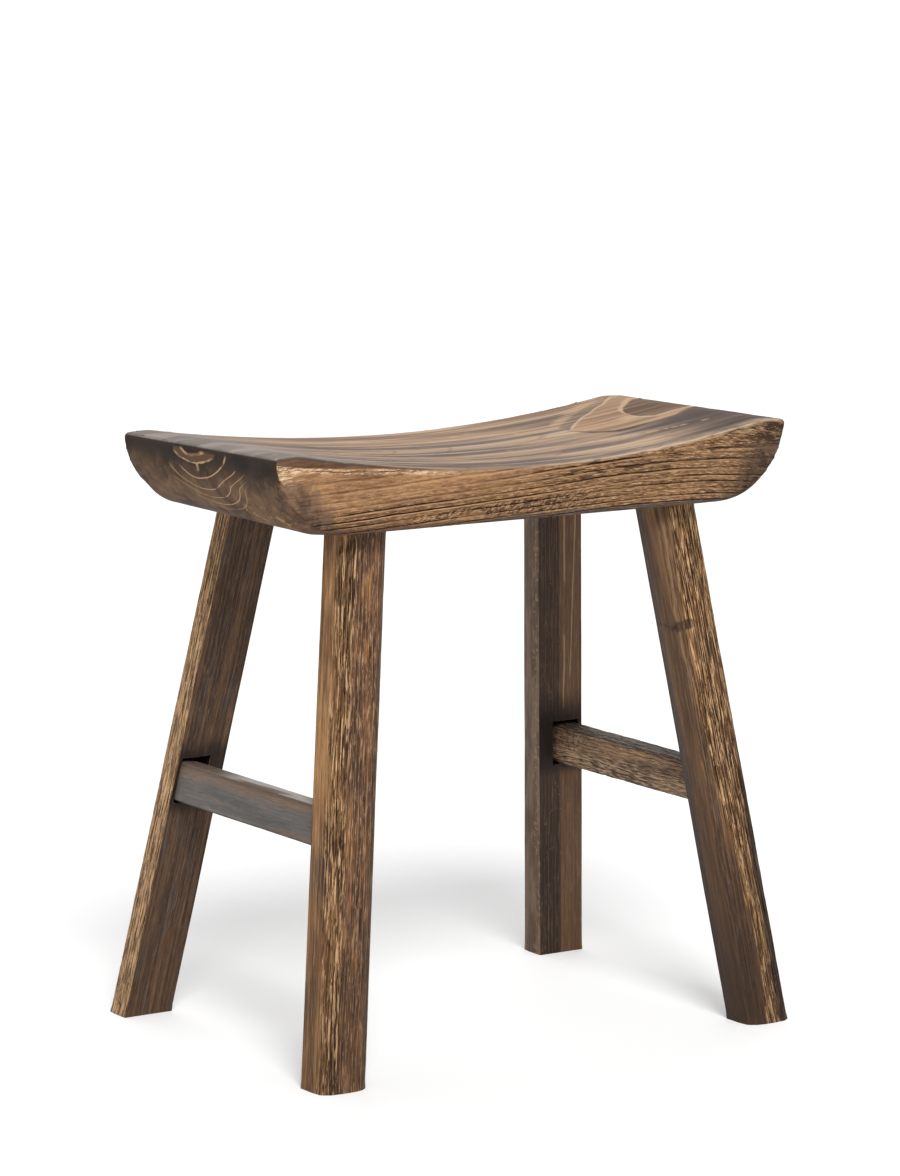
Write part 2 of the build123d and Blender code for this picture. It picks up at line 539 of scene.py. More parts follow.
def side_colour(place, grain, carved, brushing, hatched, spots):
    """Front and back: a worn band at the upper left and gashes towards the right."""
    x, z = place.parts("xz")
    groove, ridge, strokes = brushing
    marks, zone = hatched
    tone, blot, smudge, speckled = spots
    flakes = grain.clouds(15, 2.6, 3, 0.65, offset=109)
    leftward = x.fade(60, -80)
    colour = coats(
        dye(tone.fade(0.35, 0.65), (136, 97, 62), (172, 128, 87)),
        (blot.fade(0.5, 0.3) * 0.6, (128, 92, 70)),
        (x.fade(-120, -20) * 0.2, (198, 150, 104)),
        (x.fade(170, 212) * 0.92, (70, 47, 31)),
        (flakes.fade(0.53, 0.57) * leftward * 0.4, (196, 154, 114)),
        (flakes.fade(0.46, 0.41) * leftward * 0.4, (104, 72, 52)),
    )
    carving, rough = carved
    colour = wear_and_painted_relief(colour, 0.2 + 0.8 * carving, 0.25 + 0.75 * rough, groove * 1.1, ridge * 1.2, strokes)

    # Places of the single marks
    below = below_front_edge(x, z)
    crack = below - (8.5 - (x + 216) * 0.085).most(0.8) + (blot - 0.5) * 2
    fleck = grain.clouds(6, 0.9, 3, 0.7, offset=59).fade(0.47, 0.58)
    rows = crack.fade(0.2, 0.8) * crack.fade(5, 2.8) * x.fade(-222, -205) * x.fade(-50, -110)
    split = abs(crack - 2.2).fade(0.7, 0.2) * x.fade(-205, -190) * x.fade(-95, -130)
    nearest = x.fade(-200, -222) * below.fade(7, 10) * below.fade(28, 20)
    gashes = grain.clouds(13, 1.5, 2, 0.55, offset=37)
    gashed = x.fade(-70, 40) * (0.5 + 0.5 * below.fade(17, 9))
    from_corner = abs(x) - 180 - (z - 405) * 0.8 + (speckled - 0.5) * 50
    corner = from_corner.fade(-8, 8) * z.fade(438, 428)
    strip = (z + smudge * 4).fade(396.5, 394.5)
    return coats(
        colour,
        (x.fade(172, 216) * 0.35, (64, 45, 32)),
        (zone * marks.fade(0.52, 0.43) * 0.8, (64, 45, 32)),
        (zone * marks.fade(0.55, 0.63) * 0.6, (204, 166, 126)),
        (rows * fleck * 0.85, (236, 202, 164)),
        (split * 0.8, (74, 50, 36)),
        (nearest * fleck * 0.9, (246, 214, 178)),
        (crack.fade(0.4, -0.6) * (0.75 + 0.2 * smudge), (78, 55, 44)),
        (gashed * gashes.fade(0.43, 0.37) * 0.85, (54, 36, 25)),
        (gashed * gashes.fade(0.56, 0.62) * 0.5, (196, 156, 116)),
        (corner * 0.8, mottled(speckled)),
        (strip * 0.8, dye(x.fade(-80, 0), (104, 78, 62), (92, 84, 80))),
    )


def top_colour(place, flat, streak, phase, blot):
    """Smooth top: grey at the left, partly a painted sheen, then streaked, with the arch and the lobe at
    the right.
    """
    x, y = place.parts("xy")
    wide = flat.clouds(190, 28, offset=47)
    grey = flat.clouds(70, 30, offset=121).fade(0.38, 0.62)
    dashes = flat.clouds(22, 3.8, 1, offset=71).fade(0.71, 0.77)
    wavy_y = y + (place.clouds(35, 35, 2, 0.6, offset=83) - 0.5) * 9
    arch = inside(x, wavy_y, **ARCH)
    lobe = inside(x, wavy_y, **LOBE)
    echo = arch.fade(-28, -19) * arch.fade(-8, -14) * y.fade(8, 25) * x.fade(20, 90)
    dark_end = x.fade(110, 190) * arch.fade(0, -4) * y.fade(60, 20)
    dash_row = abs(y + 49 + (x - 155) * 0.14).fade(2.6, 1.2) * x.fade(84, 96) * x.fade(198, 186)
    short = flat.clouds(7, 40, 1, offset=73).fade(0.44, 0.54)
    past_point = x.fade(109, 114)
    in_arch = arch.fade(-0.5, 2) * past_point
    border = lobe.fade(-8, -4) * lobe.fade(0.5, -2) * x.fade(150, 168)
    in_lobe = lobe.fade(-0.5, 2) * x.fade(170, 175)
    at_front = y.fade(22, 10)
    thick = 2 + 6 * at_front * x.fade(170, 135)
    outline = (arch + thick).fade(-4, 4) * arch.fade(1.5, -0.5) * past_point
    back_line = arch.fade(0.5, 2) * arch.fade(5.5, 3) * past_point * (1 - at_front)
    near_front = y.fade(-86, -99) * x.fade(-20, 140) * (0.5 + blot.fade(0.35, 0.6))
    return coats(
        dye(wide.fade(0.41, 0.58), (106, 92, 85), (164, 137, 113)),
        (y.fade(10, 90) * 0.5, (150, 118, 90)),
        (streak.fade(0.48, 0.38) * 0.65, (80, 67, 60)),
        (streak.fade(0.54, 0.66) * 0.6, (202, 174, 146)),
        (phase.fade(0.45, 0.95) * 0.15, (160, 130, 102)),
        (ring_line(phase, 0.06) * 0.3, (84, 68, 58)),
        # Grey at the left end: partly the wood's colour, partly a painted sheen
        (x.fade(-105, -200) * 0.85, dye(grey, (112, 106, 103), (150, 139, 131))),
        (dashes * 0.5, (216, 190, 162)),
        (echo * streak.fade(0.36, 0.5) * 0.75, (182, 153, 122)),
        (dark_end * 0.85, (62, 49, 42)),
        (dash_row * short * 0.42, (206, 178, 150)),
        (in_arch * 0.9, dye(streak.fade(0.42, 0.6), (138, 109, 83), (176, 144, 113))),
        (border * 0.55, (208, 176, 144)),
        (in_lobe * 0.92, dye(streak.fade(0.45, 0.6), (84, 63, 47), (120, 94, 73))),
        (outline * (0.15 + 0.7 * at_front), (46, 34, 28)),
        (back_line * 0.5, (212, 182, 150)),
        (near_front * 0.36, (206, 178, 150)),
    )


def end_colour(place, grain, reach, rings, smudge, speckled):
    """End grain, dark partly as painted shade, with pale ring lines, and the heart round the pith at the
    left end.
    """
    x, y, z = place.parts()
    on_right = x.fade(-1, 1)
    shade = place.clouds(30, 30, offset=113)
    low = z.fade(438, 422)
    scuffs = place.clouds(6, 6, 3, 0.65, offset=137).fade(0.54, 0.62)
    scuffs = scuffs * y.fade(-28, -50) * z.fade(414, 405)
    # Dark end grain: partly stain, partly painted shade on the ends
    colour = coats(
        dye(shade.fade(0.35, 0.65), (66, 50, 40), (112, 86, 65)),
        (y.fade(10, -90) * z.fade(440, 405) * 0.7, (124, 95, 68)),
        (z.fade(416, 442) * (0.9 - 0.4 * on_right), (36, 30, 27)),
        (low * smudge.fade(0.02, 0.14) * 0.4, (144, 114, 84)),
        (low * smudge.fade(-0.04, -0.16) * 0.4, (56, 46, 39)),
        (scuffs * 0.6, (196, 158, 116)),
        (z.fade(404, 396) * y.fade(-40, 20) * 0.6, (70, 66, 64)),
    )

    # Lines between the rings
    sagging = end_reach(grain)
    left_rings = seat_rings(sagging)
    left_arcs = (y + (sagging - 37).most(0) * 4).fade(48, 38) * (z + sagging).fade(474, 466)
    left_arcs = left_arcs * (z + 14 * y.fade(0, 20)).fade(446, 441)
    left_arcs = left_arcs * sagging.fade(16, 20) * left_rings.fade(5.6, 5.2)
    right_arcs = y.fade(-92, -66) * y.fade(92, 60) * z.fade(446, 440) * rings.fade(12, 8)
    counted = left_rings * (1 - on_right) + rings * 0.4 * on_right
    arcs = ring_line(counted.fraction(), 0.075) * dye(on_right, left_arcs, right_arcs)
    faint = place.clouds(16, 16, 1, offset=43).fade(0.34, 0.46)

    # The heart, with a pale crescent, a rind and a short stub
    heart = reach + smudge * 3
    core = heart.fade(13, 12) * y.fade(38, 30) * y.fade(-30, -22) * z.fade(445, 442.5)
    core = core * (1 - on_right)
    crescent = heart.fade(5.4, 6.2) * heart.fade(8.2, 7.2)
    rind = heart.fade(11.6, 12.2) * heart.fade(13.4, 12.8) * z.fade(442, 438) * y.fade(-34, -10)
    stub = abs(y - 3).fade(2.2, 1) * reach.fade(12, 13) * reach.fade(19.5, 17.5)
    bright = (core * crescent).most((1 - on_right) * rind.most(stub * 0.8))
    near_arris = (abs(y) - 84 + (speckled - 0.5) * 40).fade(-6, 10) * z.fade(438, 428)
    return coats(
        colour,
        (arcs * faint * (0.95 - 0.5 * on_right), (206, 168, 130)),
        (core * heart.fade(7, 8) * (0.45 + 0.35 * faint), (108, 80, 58)),
        (bright * (0.3 + 0.6 * speckled.fade(0.38, 0.54)), (200, 162, 124)),
        (near_arris * 0.7, mottled(speckled)),
    )


def seat_wood():
    material = bpy.data.materials.new("dark_waxed_seat_wood")
    start = empty_tree(material)
    grain, facing, place = brushed_places(start)
    x, y, z = place.parts()
    fx, fy, fz = facing.parts()
    tone = grain.clouds(90, 25, offset=2)
    blot = grain.clouds(30, 10, 3, 0.6, offset=9)
    smudge = place.clouds(9, 9, 3, 0.6, offset=19) - 0.5
    speckled = place.clouds(10, 10, 3, 0.65, offset=29)
    spots = tone, blot, smudge, speckled
    reach = seat_reach(grain)
    rings = seat_rings(reach)
    phase = rings.fraction()
    brushing = groove, ridge, strokes = brushed(grain, rings - FIRST_GROOVE)
    carved = carving, rough = seat_carving(place, facing)
    hatched = marks, zone = hatching(place)
    flat = vector(x, y, z * 0.2)
    streak = flat.clouds(230, 8, offset=13)

    # Each face's own colour, then the rim between the top and the front and back: pale wear at the front
    # right, painted shadow at the front left and painted shade along the back
    sides = (abs(fy) + smudge * 0.5).fade(0.5, 0.9)
    ends = abs(fx).fade(0.2, 0.6) * (1 - sides)
    top = fz.fade(0.45, 0.8)
    rim = (abs(fy) * fz).most(0).fade(0.15, 0.45)
    front_rim = fy.fade(0, -0.3)
    pale_rim = front_rim * x.fade(-40, 60) * grain.clouds(14, 4, offset=53).fade(0.35, 0.5)
    colour = coats(
        dye(tone.fade(0.3, 0.7), (84, 62, 46), (112, 84, 60)),
        (sides, side_colour(place, grain, carved, brushing, hatched, spots)),
        (ends, end_colour(place, grain, reach, rings, smudge, speckled)),
        (top, top_colour(place, flat, streak, phase, blot)),
        (rim * pale_rim * 0.55, (210, 182, 154)),
        # Painted shadow along the upper front edge at the left
        (rim * front_rim * x.fade(-60, -120) * 0.7, (70, 56, 48)),
        # Painted shade along the back rim
        (rim * fy.fade(0, 0.3) * 0.6, (70, 58, 52)),
    )
    height = strokes.fade(0.38, 0.62) * 0.6 * rough + (ridge * 0.3 - groove * 0.9) * carving
    height = height + zone * marks * 1.2 + (streak * 0.2 - ring_line(phase, 0.05) * 0.15) * top
    roughness = 0.5 + 0.15 * sides + 0.25 * ends + 0.3 * (blot - 0.5) + 0.22 * top
    surface(start, colour, roughness, height, 1)
    return material


def make_seat():
    height = CREST - UNDERSIDE
    seat = block("dished_seat", (0, 0, UNDERSIDE + height / 2), (2 * HALF_LENGTH, 2 * HALF_DEPTH, height))
    mode("EDIT")
    saw(seat, 0, [-212, -180, -145, -100, -50, 0, 50, 100, 145, 180, 212])
    saw(seat, 1, [-88.5, -40, 0, 40, 88.5])
    saw(seat, 2, [UNDERSIDE + height * share for share in (0.06, 0.2, 0.38, 0.58, 0.79)])
    crease(seat, is_arris)
    columns = slices(seat, 0)
    levels = slices(seat, 2)
    face_rows = set().union(*[points for y, points in slices(seat, 1).items() if abs(y) > HALF_DEPTH - 1])
    for z, points in levels.items():
        share = (z - UNDERSIDE) / height
        drawn_in = 1 - (1 - (1 - share) ** 2) ** 0.5
        for row, run in ((points & face_rows, CORNER_RUN), (points - face_rows, END_RUN)):
            pick(seat, row)
            squeeze(x=1 - run / HALF_LENGTH * drawn_in)
    for x, points in columns.items():
        dish = (CREST - DISH_MIDDLE) * max(0, 1 - (x / (HALF_LENGTH - END_LAND)) ** 2)
        pick(seat, points)
        squeeze(z=1 - dish / height, floor=UNDERSIDE)
    mode("OBJECT")
    finish_with(seat, "SUBSURF", levels=4, render_levels=4)
    guide = merged_copy("seat")
    finish_with(seat, "SHRINKWRAP", target=guide, wrap_method="NEAREST_SURFACEPOINT")
    bpy.data.objects.remove(guide)
    brush(seat, seat_grain, (1, 1, 1), seat_relief)
    return seat


# Legs

LEG_SPACING = 700.0    # half of how far apart the legs are cut along their plank
LEG_STROKES = (19, 1.5)    # length and width of a brushed fibre
KNOT = (139.0, 301.0)    # x and height of the knot on the front right leg


def leg_centre(side, row, z):
    """Middle of a leg's level section at a height, which may be a number or a trace."""
    up = z / UNDERSIDE
    outer_x = FOOT_OUTER_X + (SHOULDER_OUTER_X - FOOT_OUTER_X) * up
    inner_y = FOOT_INNER_Y + (SHOULDER_INNER_Y - FOOT_INNER_Y) * up
    depth = FOOT_DEPTH + (SHOULDER_DEPTH - FOOT_DEPTH) * up
    return side * (outer_x - LEG_WIDTH / 2), row * (inner_y + depth / 2)


def leg_rings(grain):
    """Grooves counted across the leg and round its outward corner."""
    across, deep = grain.parts("yz")
    wander = (grain.clouds(240, 60, 1) - 0.5) * 6 + (grain.clouds(60, 10, 1, offset=3) - 0.5) * 2.4
    return across * 0.3 - deep * 0.25 + wander * 0.36


def carved_strip(across, z, uneven):
    """Where a right leg's outer face is carved: a strip that narrows near the foot and the seat."""
    edge = across + 3.5 + 8 * z.fade(80, 250) - 5 * z.fade(300, 385)
    return (edge + uneven).fade(-3, 4)


def leg_carving(place, grain, facing):
    """How deep the grooves of each part of a leg are, from 0 to 1."""
    x, y, z = place.parts()
    across, deep = grain.parts("yz")
    out_x, out_y = facing.parts("xy")
    right = x.fade(-1, 1)
    patches = grain.clouds(45, 9, offset=5).fade(0.35, 0.6)
    corner = out_x.fade(0.05, 0.2) * out_x.fade(0.94, 0.84) * (0.7 + 0.3 * patches) * out_y.fade(0, 0.2)
    strip = carved_strip(across, z, (patches - 0.5) * 4)
    face = out_y.fade(0.3, 0.7) * ((1 - right) * (0.15 + 0.25 * patches) + right * (0.1 + 0.9 * strip))
    beside_corner = (deep + (patches - 0.5) * 5).fade(2, 7)
    flank = out_x.fade(0.8, 0.95) * (0.25 + 0.65 * y.fade(-1, 1).most(beside_corner))
    return corner.most(face).most(flank)


def leg_relief(place, grain, facing):
    """How deep a leg is brushed, in millimetres. The sole and the shoulder stay flat."""
    z = place.parts("z")[0]
    carving = leg_carving(place, grain, facing)
    groove, _, strokes = brushed(grain, leg_rings(grain), *LEG_STROKES)
    brushing = groove * 0.6 + (0.6 - strokes).most(0) * 1.8
    inside_ends = z.fade(1, 6) * z.fade(UNDERSIDE - 1, UNDERSIDE - 6)
    uneven = 0.6 * grain.clouds(70, 25, 1, offset=17)
    return ((0.12 + 0.88 * carving) * brushing + uneven) * inside_ends


def round_outside(leg, row):
    """Draws the cage's outward corners in, by shares of the round that suit the subdivision."""
    outer = slices(leg, 1)[round(row * FOOT_DEPTH / 2, 2)]
    beside = slices(leg, 1)[round(row * TENON_HALF_DEPTH, 2)]
    for x, points in slices(leg, 0).items():
        into_round = max(0, abs(x) - LEG_WIDTH / 2 + LEG_ROUND)
        fall = LEG_ROUND - (LEG_ROUND ** 2 - into_round ** 2) ** 0.5
        at_side = abs(x) > LEG_WIDTH / 2 - 0.1
        pick(leg, points & outer)
        drop = 0.36 * LEG_ROUND if at_side else 0.8 * fall + LEG_BULGE * (2 * x / LEG_WIDTH) ** 2
        shift(y=-row * drop)
        if at_side:
            squeeze(x=1 - 0.38 * LEG_ROUND / LEG_WIDTH)
            pick(leg, points & beside)
            squeeze(x=1 - 0.2 * LEG_ROUND / LEG_WIDTH)


def cut_mortise(leg, side, row, edge, inner_edge, low, high):
    """Sinks the window between two edges and two heights into the inner face."""
    # The lower corners are turned with the stretcher
    lean = (FOOT_OUTER_X - SHOULDER_OUTER_X) / UNDERSIDE
    inner_face = slices(leg, 1)[round(-row * FOOT_DEPTH / 2, 2)]
    for x, rise in ((edge, lean * BAR_THICKNESS / 2), (inner_edge, -lean * BAR_THICKNESS / 2)):
        pick(leg, inner_face & slices(leg, 0)[round(side * x, 2)] & slices(leg, 2)[round(low, 2)])
        shift(z=rise)

    def in_window(middle, normal):
        within = low < middle.z < high and inner_edge < side * middle.x < edge
        return within and normal.y * row < -SQUARELY

    pick_faces(leg, in_window)
    push_out(y=row * BAR_SEAT_DEPTH)


def raise_tenon(leg):
    """Pulls the tenon up out of the shoulder."""
    def on_tenon(middle, normal):
        within = abs(middle.x) < TENON_HALF_WIDTH and abs(middle.y) < TENON_HALF_DEPTH
        return within and normal.z > SQUARELY and middle.z > UNDERSIDE - 1

    pick_faces(leg, on_tenon)
    push_out(z=TENON_LENGTH)


def make_leg(side, row):
    name = f"{ROWS[row]}_{SIDES[side]}"
    leg = block("leg_" + name + "_brushed", (0, 0, UNDERSIDE / 2), (LEG_WIDTH, FOOT_DEPTH, UNDERSIDE))
    edge = LEG_WIDTH / 2 - BAR_SETBACK
    inner_edge = edge - BAR_THICKNESS - MOUTH_INSIDE
    low = BAR_MIDDLE[side] - BAR_HEIGHT / 2
    high = BAR_MIDDLE[side] + BAR_HEIGHT / 2 + MOUTH_ABOVE
    mode("EDIT")
    saw(leg, 0, [side * x for x in (-TENON_HALF_WIDTH, inner_edge, 3, TENON_HALF_WIDTH, edge)])
    saw(leg, 1, [-TENON_HALF_DEPTH, 0, TENON_HALF_DEPTH])
    saw(leg, 2, [4, 45, 85, 125, low, high, 240, 290, 340, 384])
    crease(leg, lambda e: lies_at(e, 2, 0, UNDERSIDE))
    inner_y = -row * FOOT_DEPTH / 2
    crease(leg, lambda e: lies_at(e, 0, -LEG_WIDTH / 2, LEG_WIDTH / 2) and lies_at(e, 1, inner_y))
    round_outside(leg, row)
    cut_mortise(leg, side, row, edge, inner_edge, low, high)
    raise_tenon(leg)
    crease(leg, lambda e: e.is_manifold and e.calc_face_angle(0) > SHARP_ANGLE)
    for z, points in slices(leg, 2).items():
        x, y = leg_centre(side, row, z)
        pick(leg, points)
        squeeze(y=1 + (SHOULDER_DEPTH / FOOT_DEPTH - 1) * min(1, z / UNDERSIDE))
        shift(x, y)
    bpy.ops.mesh.select_all(action="SELECT")
    bpy.ops.mesh.normals_make_consistent(inside=False)
    mode("OBJECT")
    finish_with(leg, "SUBSURF", levels=4, render_levels=4)

    def leg_grain(place):
        x, y, z = place.parts()
        middle_x, middle_y = leg_centre(side, row, z)
        return vector(z + LEG_SPACING * (side + 2 * row + 4), (x - middle_x) * side, (y - middle_y) * row)

    brush(leg, leg_grain, (side, row, 1), leg_relief)
    return leg


def outer_colour(place, grain, facing, right, back, flank, spots):
    """Outer faces: tan where they are carved, purple brown or dark where they are smooth."""
    z = place.parts("z")[0]
    across = grain.parts("y")[0]
    out_x = facing.parts("x")[0]
    tone, blot, streak, flecks = spots
    tan = dye(tone.fade(0.4, 0.6), (132, 96, 67), (170, 130, 91))
    tan = dye(streak.fade(0.46, 0.38) * 0.5, tan, (92, 66, 48))
    purple = coats(
        dye(blot.fade(0.35, 0.6), (74, 52, 41), (106, 77, 59)),
        (flecks.fade(0.56, 0.62) * 0.75, (188, 154, 122)),
        (flecks.fade(0.44, 0.38) * 0.85, (48, 34, 28)),
    )
    smooth = coats(
        dye(tone.fade(0.4, 0.6), (82, 61, 47), (128, 96, 70)),
        (streak.fade(0.46, 0.4) * 0.5, (62, 44, 34)),
        (flecks.fade(0.57, 0.63) * 0.4, (160, 124, 90)),
        (flecks.fade(0.43, 0.37) * 0.5, (52, 38, 29)),
    )
    strip = carved_strip(across, z, (blot - 0.5) * 8)
    face = coats(
        dye(right, purple, dye(strip, smooth, tan)),
        (across.fade(-13, -18) * (1 - right) * 0.6, (168, 118, 74)),
        (blot.fade(0.58, 0.7) * (1 - right) * 0.5, (172, 118, 70)),
    )
    smoky = abs(z - 150 + (blot - 0.5) * 30).fade(26, 8)
    smoky = (1 - right) * (1 - back) * out_x.fade(0.7, 0.9) * smoky
    shade = grain.clouds(60, 14, offset=131)
    pale = dye(blot.fade(0.4, 0.6), (198, 158, 120), (234, 196, 156))
    return coats(
        dye((out_x + (blot - 0.5) * 1.2).fade(0.15, 0.5), face, tan),
        (smoky * 0.6, (78, 66, 58)),
        (shade.fade(0.53, 0.64) * 0.5, (60, 44, 35)),
        (shade.fade(0.46, 0.36) * 0.2, (178, 132, 90)),
        (flank * 0.95, pale),
        (flank * flecks.fade(0.53, 0.59) * 0.75, (232, 198, 160)),
        (flank * flecks.fade(0.45, 0.39) * 0.6, (104, 76, 55)),
    )


def inner_colour(place, grain, facing, right, back, looks_in, spots):
    """Inner faces: dark, partly stain and partly painted shade, with worn lines on the back right leg and
    flanks grey with dust on the right legs, the back one lighter partly as painted light.
    """
    z = place.parts("z")[0]
    across, deep = grain.parts("yz")
    out_x, out_y = facing.parts("xy")
    tone, blot, streak, flecks = spots
    mottles = place.clouds(4, 4, 2, 0.6, offset=107)
    seen = right * back * looks_in
    waver = (grain.clouds(50, 50, 1, offset=97) - 0.5) * 3
    short_line = abs(across - 4 + waver).fade(1.1, 0.4) * abs(z - 333).fade(30, 24)
    short_line = short_line.most(abs(across - 3.6 + waver).fade(1.1, 0.4) * abs(z - 234).fade(33, 27))
    long_line = abs(across - 16 + (UNDERSIDE - z) * 0.042 + waver).fade(0.9, 0.3) * z.fade(226, 236)
    worn_through = short_line.most(long_line) * blot.fade(0.36, 0.46)
    facet = out_x.fade(-0.5, -0.9) * right
    # The back right leg's left flank: mottled with dust, and lighter partly as painted light from the left
    dust_and_lit_flank = dye(blot.fade(0.38, 0.6), (98, 80, 68), (140, 119, 101))
    dust_and_lit_flank = dye(mottles.fade(0.55, 0.62) * deep.fade(-2, -9) * 0.6, dust_and_lit_flank, (178, 152, 124))
    worn = dye(tone.fade(0.4, 0.6), (92, 70, 53), (126, 96, 71))
    worn = dye(deep.fade(-2, -11), worn, (78, 72, 70))
    # Pale flecks along the inner arris: partly wear, partly a painted highlight
    arris = (out_x.least(0) * out_y.least(0)).fade(0.1, 0.4) * blot.fade(0.48, 0.56)
    # Dark inner wood: partly stain, partly painted shade
    return coats(
        dye(streak.fade(0.42, 0.58), (64, 49, 41), (96, 73, 56)),
        (streak.fade(0.58, 0.66) * 0.5, (140, 108, 78)),
        (blot.fade(0.52, 0.64) * 0.5, (84, 78, 76)),
        (flecks.fade(0.57, 0.64) * 0.4, (136, 108, 84)),
        (flecks.fade(0.43, 0.36) * 0.5, (42, 32, 27)),
        (seen * 0.5, (120, 90, 67)),
        # Darker at the left and low down on the back right leg's inner face: partly stain, partly painted
        # shade
        (seen * across.fade(1, -2) * 0.85, (52, 40, 34)),
        (seen * across.fade(0.5, -1) * z.fade(200, 60) * 0.7, (34, 27, 24)),
        (seen * mottles.fade(0.64, 0.7) * 0.4, (118, 98, 82)),
        (seen * worn_through * 0.75, (176, 146, 116)),
        (facet * back * 0.8, dust_and_lit_flank),
        (facet * (1 - back) * 0.75, worn),
        (arris * 0.8, (176, 144, 114)),
    )


def leg_wood():
    material = bpy.data.materials.new("dark_brushed_leg_wood")
    start = empty_tree(material)
    grain, facing, place = brushed_places(start)
    x, y, z = place.parts()
    across, deep = grain.parts("yz")
    out_x, out_y = facing.parts("xy")
    groove, ridge, strokes = brushed(grain, leg_rings(grain), *LEG_STROKES)
    carving = leg_carving(place, grain, facing)
    tone = grain.clouds(110, 14, offset=2)
    blot = grain.clouds(40, 8, 3, 0.6, offset=9)
    streak = grain.clouds(150, 3, 3, 0.6, offset=13)
    flecks = grain.clouds(9, 1.1, 3, 0.62, offset=91)
    spots = tone, blot, streak, flecks
    right = x.fade(-1, 1)
    back = y.fade(-1, 1)
    front_right = right * (1 - back)
    back_right = right * back
    flank = out_x.fade(0.8, 0.95) * back * (1 - right)
    looks_in = out_y.fade(-0.4, -0.8)
    # Faces turned in under the stool take the inner colours, which are dark partly as painted shade
    turned_in = out_x.fade(-0.15, -0.5).most(out_y.fade(0.3, -0.1) * out_x.fade(0.5, 0.1))
    outer = outer_colour(place, grain, facing, right, back, flank, spots)
    inner = inner_colour(place, grain, facing, right, back, looks_in, spots)

    # Brushing, which shows most where the wood is carved
    cut = carving.fade(0.35, 0.8)
    bold = 0.5 + (strokes - 0.5) * (1 + 0.7 * cut)
    shown = 0.12 + 0.88 * carving
    colour = wear_and_painted_relief(dye(turned_in, outer, inner), shown, shown, groove * 0.8, ridge * 1.25, bold)
    pits = grain.clouds(11, 1.4, 2, 0.6, offset=103).fade(0.41, 0.35)
    past_strip = across + (blot - 0.5) * 5 + 4.5 * z.fade(220, 100)
    # Painted shade down the front right leg's far edge, where it rounds away
    far_edge_shade = front_right * out_y.fade(0, 0.3) * past_strip.fade(12.5, 15.5) * z.fade(260, 170)
    foot_shade = z.fade(250, 0) * (0.42 + 0.42 * front_right - 0.2 * back_right) * (1 - 0.6 * cut)

    # A knot, painted shadow and grime round the stretchers' ends and painted shade inside the mortises
    knot_x = (x - KNOT[0]) / 7
    knot_z = (z - KNOT[1] - (x - KNOT[0]) * 0.15) / 4.5
    ragged = (place.clouds(5, 5, 3, 0.6, offset=87) - 0.5) * 4
    knot = (knot_x * knot_x + knot_z * knot_z + ragged).fade(1.6, 0.2) * y.fade(-60, -70)
    above_bar = z - BAR_MIDDLE[-1] + (BAR_MIDDLE[-1] - BAR_MIDDLE[1]) * right - BAR_HEIGHT / 2
    # Painted shadow, with some grime, on the inner faces round each stretcher's end
    bar_shadow_and_grime = (above_bar + (blot - 0.5) * 16).fade(22 + 12 * back_right, 3) * above_bar.fade(-44, -32)
    # Painted shade in the dark inside of each mortise
    mortise_shade = abs(across - 5).fade(13.2, 12.8) * deep.fade(-13.2, -12.2) * deep.fade(6, 5)
    colour = coats(
        colour,
        # Pale tops of the carved fibres: partly wear, partly a painted highlight
        (strokes.fade(0.53, 0.59) * cut * 0.5, (226, 186, 146)),
        # Dark pits: partly their own dark, partly painted shade
        (pits * cut * (0.8 - 0.4 * flank), (42, 29, 21)),
        # Painted shade down the front right leg's far edge
        (far_edge_shade * 0.85, (54, 45, 39)),
        (foot_shade, (52, 37, 28)),
        (knot * 0.75, (46, 32, 25)),
        # Painted shadow and grime round the stretchers' ends, then painted shade inside the mortises
        (bar_shadow_and_grime * looks_in * (0.85 + 0.1 * back_right), (32, 25, 21)),
        (mortise_shade * abs(z - 180).fade(28, 24), (27, 20, 16)),
    )
    colour = start.node("ShaderNodeHueSaturation", {}, {"Saturation": 1.07, "Color": colour})
    height = (strokes.fade(0.38, 0.62) * 0.7 - groove * 0.8 + ridge * 0.3) * (0.1 + 0.9 * carving)
    height = height + streak * 0.15 - pits * cut * 0.4
    roughness = 0.55 + 0.25 * (blot - 0.5) + 0.1 * carving
    surface(start, colour, roughness, height, 1.6)
    return material


# Stretchers

BAR_SPACING = 300.0    # half of how far apart the stretchers are cut along their plank
BAR_STROKES = (9, 1.3)


def bar_rings(grain):
    """Grooves counted over a stretcher's height."""
    out, up = grain.parts("yz")
    long_waves = (grain.clouds(120, 20, 1) - 0.5) * 3
    return (up + 0.4 * out) * 0.3 + long_waves + (grain.clouds(18, 9) - 0.5) * 1.6


def bar_relief(place, grain, facing):
    """How deep a stretcher is brushed, in millimetres. The left one is smoother."""
    groove, _, strokes = brushed(grain, bar_rings(grain), *BAR_STROKES)
    right = place.parts("x")[0].fade(-1, 1)
    brushing = groove * 0.5 + (0.62 - strokes).most(0)
    return brushing * (0.35 + 0.65 * right) + 0.4 * grain.clouds(50, 12, 1, offset=17)


